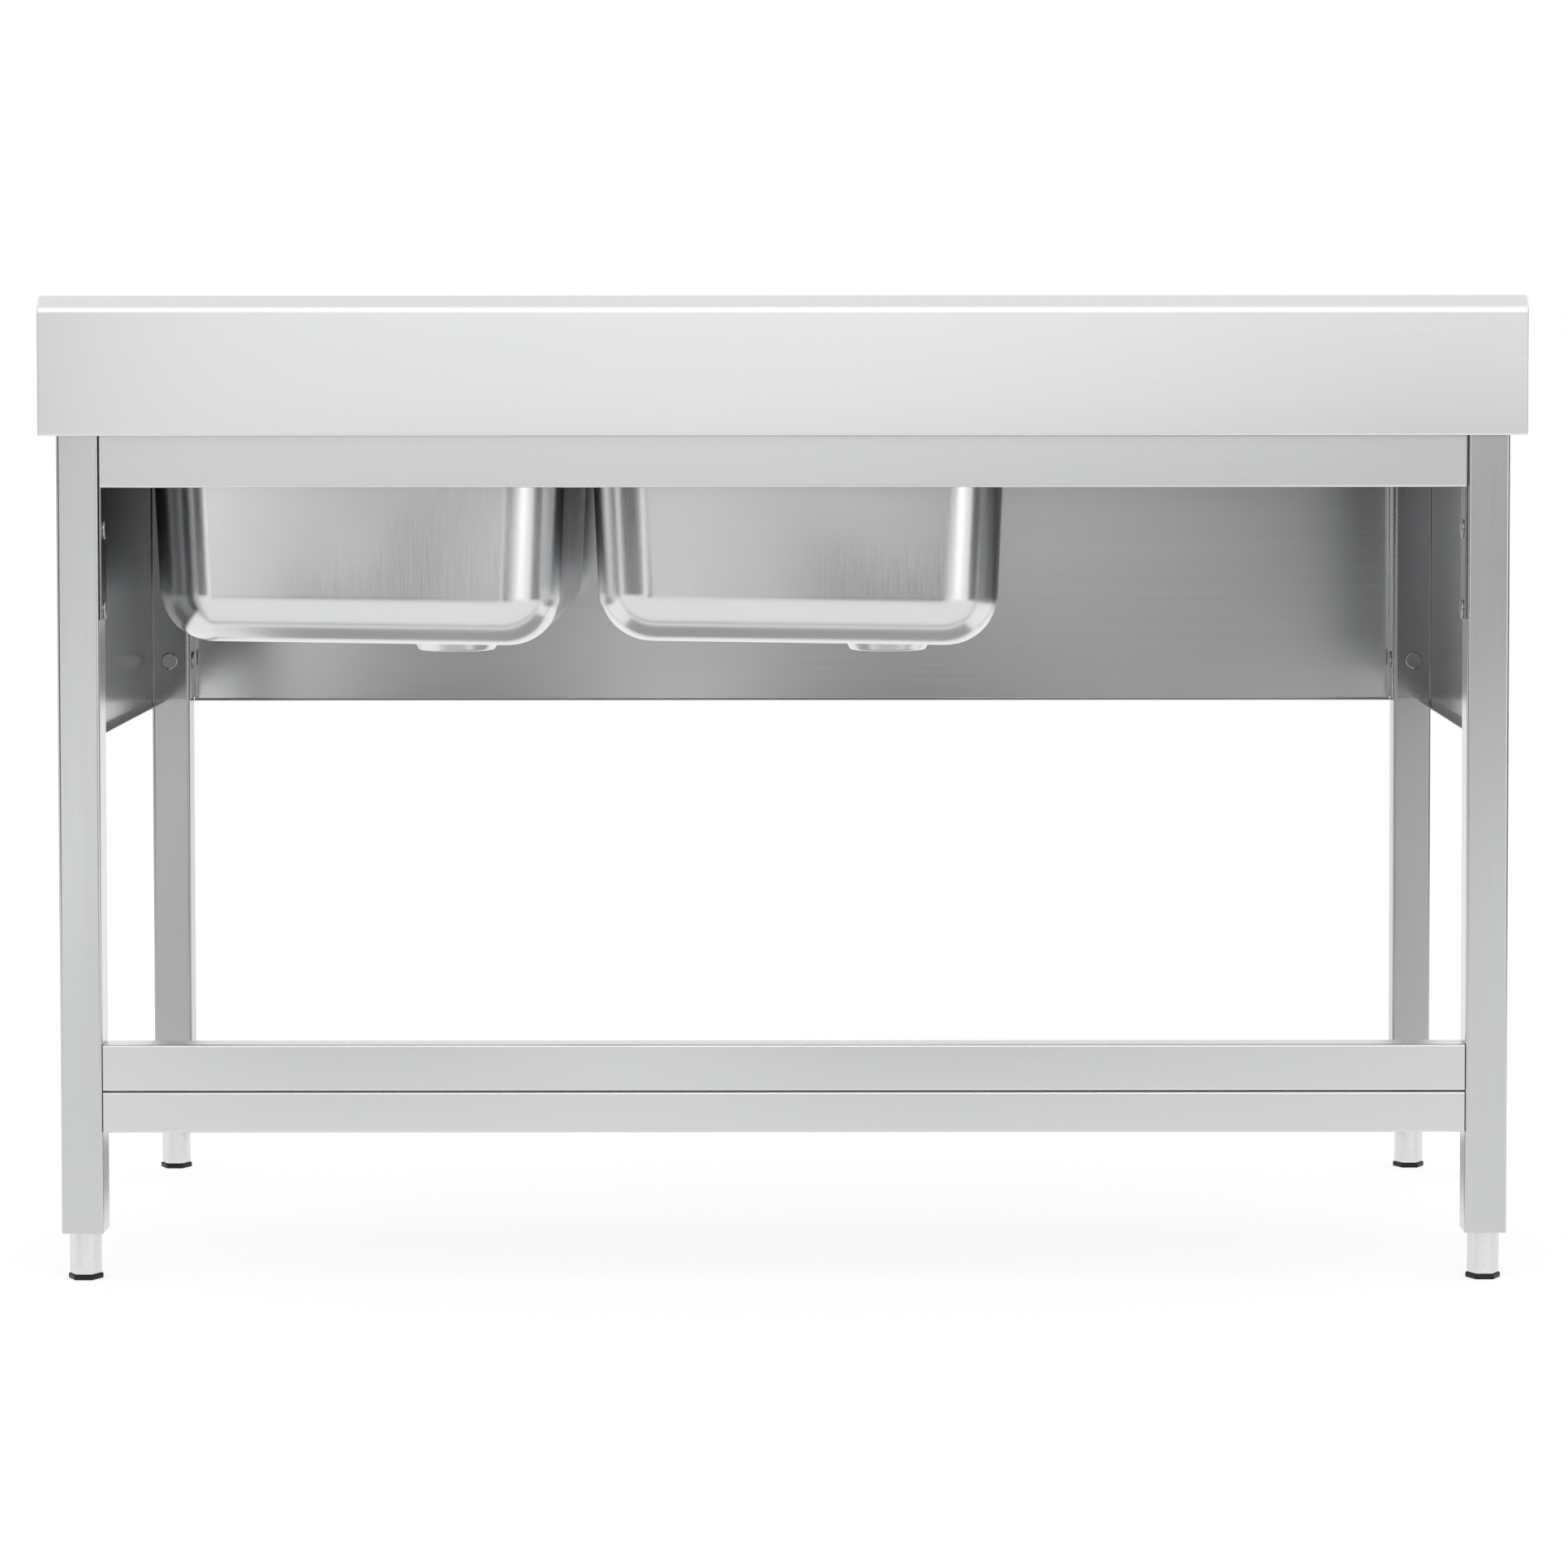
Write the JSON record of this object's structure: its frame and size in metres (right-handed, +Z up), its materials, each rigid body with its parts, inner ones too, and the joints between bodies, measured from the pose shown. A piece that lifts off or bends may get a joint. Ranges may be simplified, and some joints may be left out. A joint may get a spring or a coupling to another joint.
{
  "type": "sink unit",
  "caption": "Free-standing stainless-steel sink table with a wall upstand, drawn bowls beside a grooved drainer, apron, side panels and square tube legs on adjustable feet.",
  "frame": {"origin": "on the floor, under the middle of the worktop", "axes": "+X to the user's right along the length, +Y towards the wall, +Z up"},
  "size_m": [1.4, 0.7, 0.9365],
  "materials": {
    "worktop_steel": "fine lengthwise brushed grain",
    "bowl_steel": "satin, drawn and lightly polished",
    "leg_steel": "upright brushed grain",
    "panel_steel": "cold-rolled sheet, faint grain",
    "frame_steel": "lengthwise brushed grain",
    "fastener_steel": "bright zinc plating",
    "foot_steel": "satin turned metal",
    "black_plastic": "moulded, slightly glossy"
  },
  "bodies": {
    "frame": {"worktop": "worktop_steel", "drainer_stiffener_front": "frame_steel", "drainer_stiffener_rear": "frame_steel", "right_bowl": "bowl_steel", "left_bowl": "bowl_steel", "leg_front_left": "leg_steel", "foot_plug_front_left": "black_plastic", "foot_nut_front_left": "fastener_steel", "leg_rear_left": "leg_steel", "foot_plug_rear_left": "black_plastic", "foot_nut_rear_left": "fastener_steel", "leg_front_right": "leg_steel", "foot_plug_front_right": "black_plastic", "foot_nut_front_right": "fastener_steel", "leg_rear_right": "leg_steel", "foot_plug_rear_right": "black_plastic", "foot_nut_rear_right": "fastener_steel", "side_panel_left": "panel_steel", "side_panel_right": "panel_steel", "front_apron": "panel_steel", "rear_rail": "frame_steel", "rear_bracket_left": "frame_steel", "rear_bracket_right": "frame_steel", "brace_lower": "frame_steel", "brace_upper": "frame_steel", "screw_side_panel_front_left_low": "fastener_steel", "screw_side_panel_rear_left_low": "fastener_steel", "screw_apron_left_low": "fastener_steel", "screw_rear_bracket_left_low": "fastener_steel", "screw_side_panel_front_left_high": "fastener_steel", "screw_side_panel_rear_left_high": "fastener_steel", "screw_apron_left_high": "fastener_steel", "screw_rear_bracket_left_high": "fastener_steel", "screw_brace_lower_left": "fastener_steel", "screw_brace_upper_left": "fastener_steel", "screw_side_panel_front_right_low": "fastener_steel", "screw_side_panel_rear_right_low": "fastener_steel", "screw_apron_right_low": "fastener_steel", "screw_rear_bracket_right_low": "fastener_steel", "screw_side_panel_front_right_high": "fastener_steel", "screw_side_panel_rear_right_high": "fastener_steel", "screw_apron_right_high": "fastener_steel", "screw_rear_bracket_right_high": "fastener_steel", "screw_brace_lower_right": "fastener_steel", "screw_brace_upper_right": "fastener_steel"},
    "foot_front_left": {"foot_spindle_front_left": "fastener_steel", "foot_sleeve_front_left": "foot_steel", "foot_pad_front_left": "black_plastic"},
    "foot_rear_left": {"foot_spindle_rear_left": "fastener_steel", "foot_sleeve_rear_left": "foot_steel", "foot_pad_rear_left": "black_plastic"},
    "foot_front_right": {"foot_spindle_front_right": "fastener_steel", "foot_sleeve_front_right": "foot_steel", "foot_pad_front_right": "black_plastic"},
    "foot_rear_right": {"foot_spindle_rear_right": "fastener_steel", "foot_sleeve_rear_right": "foot_steel", "foot_pad_rear_right": "black_plastic"}
  },
  "joints": [
    {"name": "foot_front_left_height", "type": "slide", "parent": "frame", "child": "foot_front_left", "axis": [0, 0, 1], "range_m": [-0.015, 0.03]},
    {"name": "foot_rear_left_height", "type": "slide", "parent": "frame", "child": "foot_rear_left", "axis": [0, 0, 1], "range_m": [-0.015, 0.03]},
    {"name": "foot_front_right_height", "type": "slide", "parent": "frame", "child": "foot_front_right", "axis": [0, 0, 1], "range_m": [-0.015, 0.03]},
    {"name": "foot_rear_right_height", "type": "slide", "parent": "frame", "child": "foot_rear_right", "axis": [0, 0, 1], "range_m": [-0.015, 0.03]}
  ]
}
